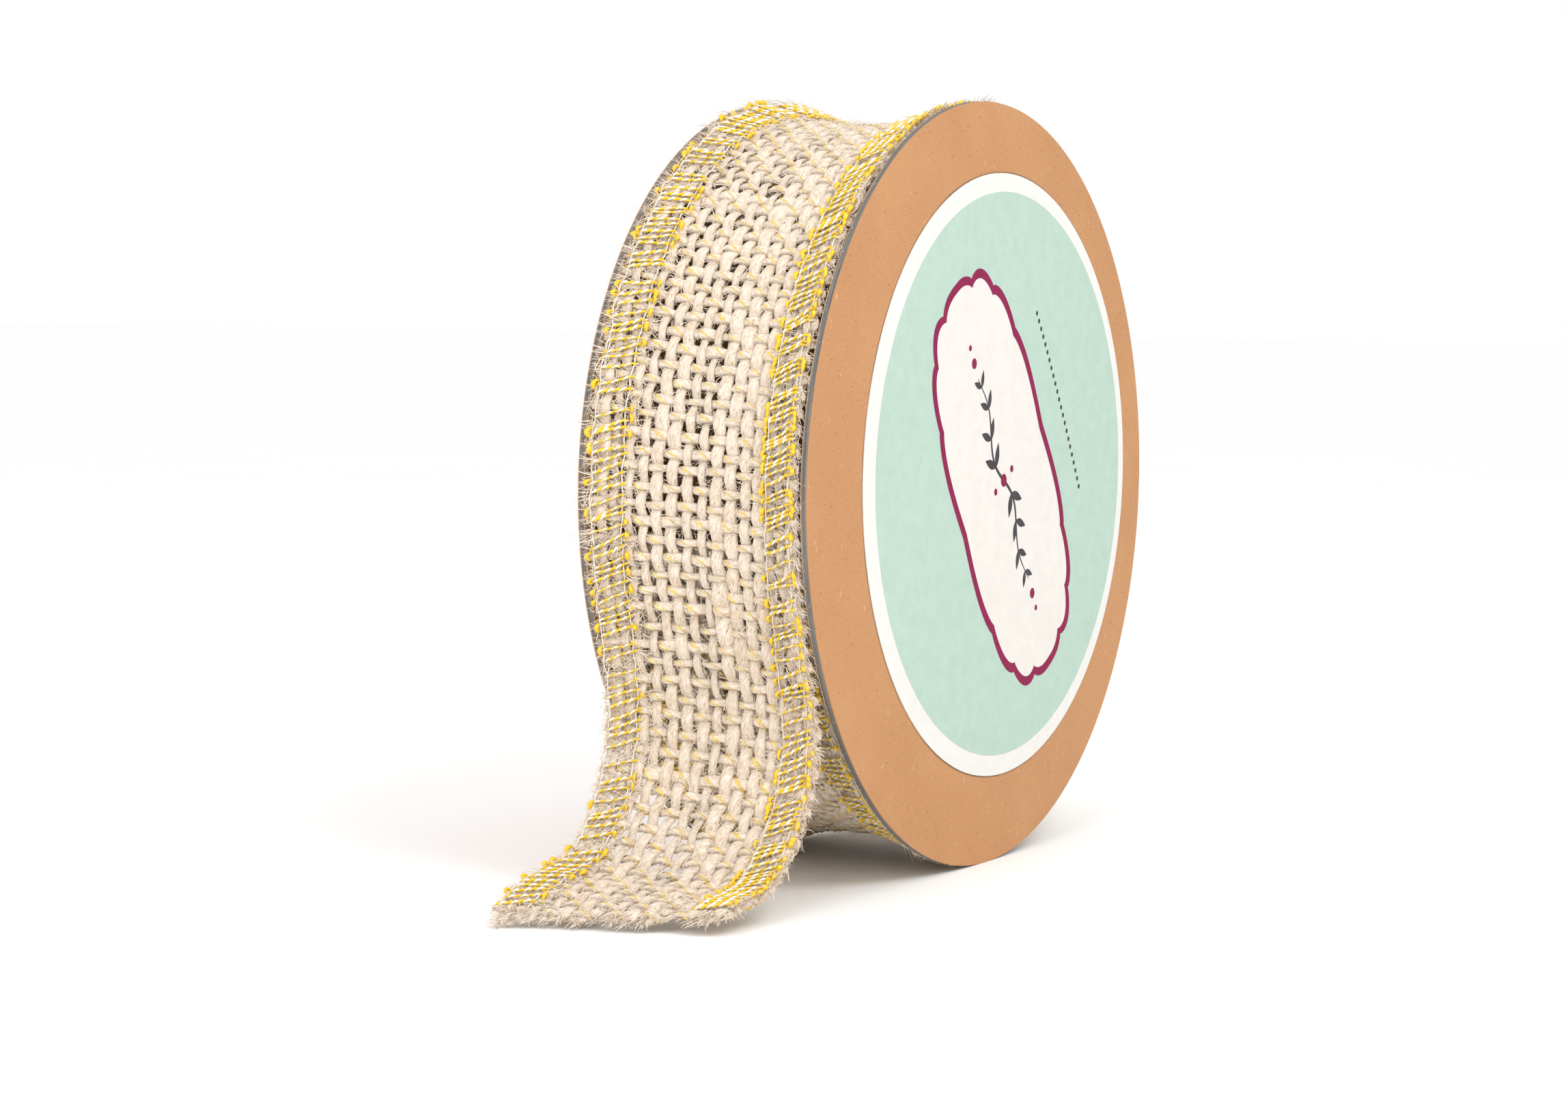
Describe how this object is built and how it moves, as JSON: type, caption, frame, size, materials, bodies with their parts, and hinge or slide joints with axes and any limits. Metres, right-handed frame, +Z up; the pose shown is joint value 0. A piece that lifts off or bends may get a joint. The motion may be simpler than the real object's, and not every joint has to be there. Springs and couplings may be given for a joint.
{
  "type": "ribbon spool",
  "caption": "Paperboard reel wound with a wide jute ribbon with overlocked gold edges, its free end hanging from the roll, and a round printed label on one flange.",
  "frame": {"origin": "on the reel's axis, midway between the two flanges", "axes": "+Y along the reel's axis out of the open end of the bore, -Y out of the labelled face, +Z up as the reel stands on its flange rims, -X towards the hanging free end of the ribbon"},
  "size_m": [0.1552, 0.0411, 0.127],
  "materials": {
    "kraft_paper": "matt light orange-brown kraft paper with fine dark and pale flecks",
    "greyboard": "matt blue-grey recycled board, cut edge",
    "core_board": "matt grey-brown spirally wound tube board",
    "label_paper": "matt coated off-white label paper printed with a mint disc and a plum line frame",
    "glue": "dried pale hot-melt glue",
    "tape": "translucent tan adhesive tape",
    "jute": "cream jute plain weave, hairy, with fine gold lurex slivers along the weft",
    "overlock_thread": "two-ply twisted bright yellow and silver-white lurex thread"
  },
  "bodies": {
    "spool": {"near_flange_board": "greyboard", "near_flange_kraft_face": "kraft_paper", "near_flange_inner_paper": "kraft_paper", "far_flange_board": "greyboard", "far_flange_kraft_face": "kraft_paper", "far_flange_inner_paper": "kraft_paper", "near_core_glue_ring": "glue", "far_core_glue_ring": "glue", "core_tube": "core_board", "face_label": "label_paper", "starter_tape": "tape", "ribbon_windings": "jute"},
    "outer_turn": {"ribbon_outer_turn": "jute", "near_overlock_turn": "overlock_thread", "far_overlock_turn": "overlock_thread"},
    "tail": {"ribbon_tail": "jute", "near_overlock_tail": "overlock_thread", "far_overlock_tail": "overlock_thread"},
    "tail_tip": {"ribbon_tail_tip": "jute", "near_overlock_tip": "overlock_thread", "far_overlock_tip": "overlock_thread"}
  },
  "joints": [
    {"name": "unwind_turn", "type": "hinge", "parent": "spool", "child": "outer_turn", "pos_m": [0, 0, 0], "axis": [0, 1, 0], "continuous": true},
    {"name": "free_end_lift", "type": "hinge", "parent": "outer_turn", "child": "tail", "pos_m": [-0.06108, 0, -0.01523], "axis": [0, 1, 0], "range_deg": [0, 75]},
    {"name": "tip_curl", "type": "hinge", "parent": "tail", "child": "tail_tip", "pos_m": [-0.06298, 0, -0.04631], "axis": [0, 1, 0], "range_deg": [-20, 50]}
  ]
}
